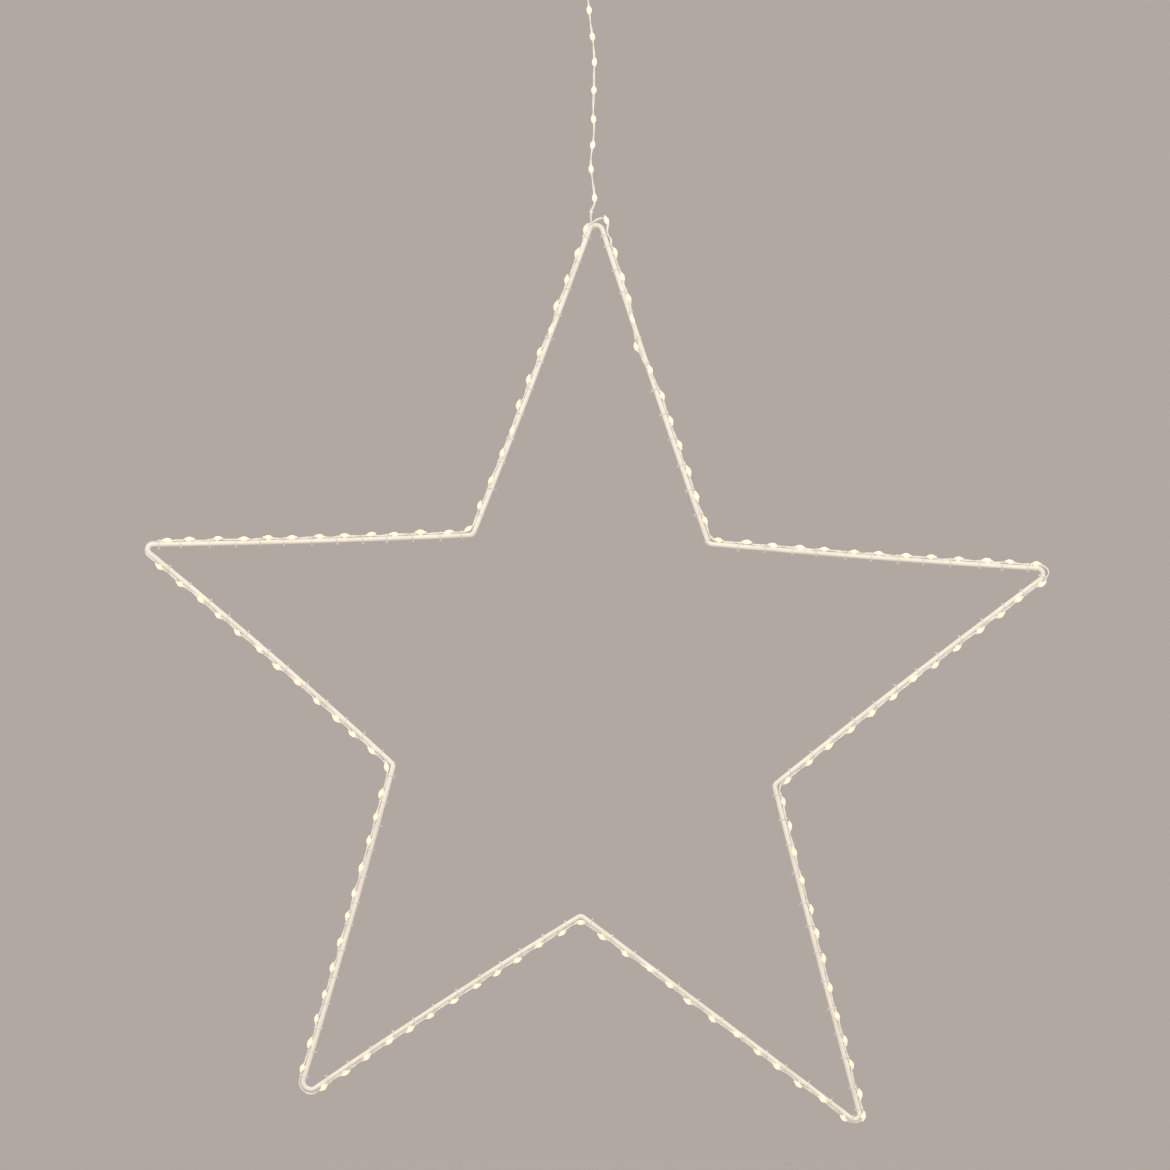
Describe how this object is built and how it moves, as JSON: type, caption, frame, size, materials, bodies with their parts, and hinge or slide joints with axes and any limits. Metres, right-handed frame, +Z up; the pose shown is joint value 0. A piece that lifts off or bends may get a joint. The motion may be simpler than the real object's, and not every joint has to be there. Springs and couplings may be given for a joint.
{
  "type": "hanging star light",
  "caption": "Five-pointed wire star outlined by a string of small light drops, hanging on its lead from a ring on a stick-on ceiling hook.",
  "frame": {"origin": "middle of the flat face of the adhesive pad that sticks to the ceiling; everything hangs below it", "axes": "+X to the right seen from the front, -Y the front of the star, +Z up towards the ceiling; the star lies in the XZ plane"},
  "size_m": [0.5826, 0.04, 0.8035],
  "materials": {
    "foam_tape": "closed-cell foam tape, matte",
    "white_plastic": "moulded, satin",
    "steel_wire": "zinc plated drawn wire",
    "coated_wires": "clear lacquer over fine silver wires",
    "lit_drops": "clear epoxy drop, lit warm white",
    "clear_thread": "clear nylon thread",
    "pin_metal": "plated",
    "white_coat": "white powder coat, fine grain"
  },
  "bodies": {
    "ceiling_fitting": {"adhesive_pad": "foam_tape", "hook_base": "white_plastic", "ceiling_hook": "steel_wire"},
    "ring": {"hanging_ring": "steel_wire"},
    "lead": {"lead_cord": "coated_wires", "lead_drop_01": "lit_drops", "lead_drop_02": "lit_drops", "lead_drop_03": "lit_drops", "lead_drop_04": "lit_drops", "lead_drop_05": "lit_drops", "lead_drop_06": "lit_drops", "lead_drop_07": "lit_drops", "lead_drop_08": "lit_drops", "lead_drop_09": "lit_drops", "loop_tie": "clear_thread", "plug_strain_relief": "white_plastic", "plug_housing": "white_plastic", "plug_pin_1": "pin_metal", "plug_pin_2": "pin_metal"},
    "star": {"star_frame": "white_coat", "hanging_knot": "coated_wires", "lead_in_wires": "coated_wires", "light_string_leg_01": "lit_drops", "light_string_leg_02": "lit_drops", "light_string_leg_03": "lit_drops", "light_string_leg_04": "lit_drops", "light_string_leg_05": "lit_drops", "light_string_leg_06": "lit_drops", "light_string_leg_07": "lit_drops", "light_string_leg_08": "lit_drops", "light_string_leg_09": "lit_drops", "light_string_leg_10": "lit_drops", "string_tie_01": "clear_thread", "string_tie_02": "clear_thread", "string_tie_03": "clear_thread", "string_tie_04": "clear_thread", "string_tie_05": "clear_thread", "string_tie_06": "clear_thread", "string_tie_07": "clear_thread", "string_tie_08": "clear_thread", "string_tie_09": "clear_thread", "string_tie_10": "clear_thread", "string_tie_11": "clear_thread", "string_tie_12": "clear_thread", "string_tie_13": "clear_thread", "string_tie_14": "clear_thread", "string_tie_15": "clear_thread", "string_tie_16": "clear_thread", "string_tie_17": "clear_thread", "string_tie_18": "clear_thread", "string_tie_19": "clear_thread", "string_tie_20": "clear_thread"}
  },
  "joints": [
    {"name": "ring_swing", "type": "hinge", "parent": "ceiling_fitting", "child": "ring", "pos_m": [0, 0, -0.0242], "axis": [1, 0, 0], "range_deg": [-60, 60]},
    {"name": "lead_sway", "type": "hinge", "parent": "ring", "child": "lead", "pos_m": [0, 0, -0.0339], "axis": [0, 1, 0], "range_deg": [-45, 45]},
    {"name": "star_twist", "type": "hinge", "parent": "lead", "child": "star", "pos_m": [0, 0, -0.2153], "axis": [0, 0, 1], "range_deg": [-180, 180]}
  ]
}
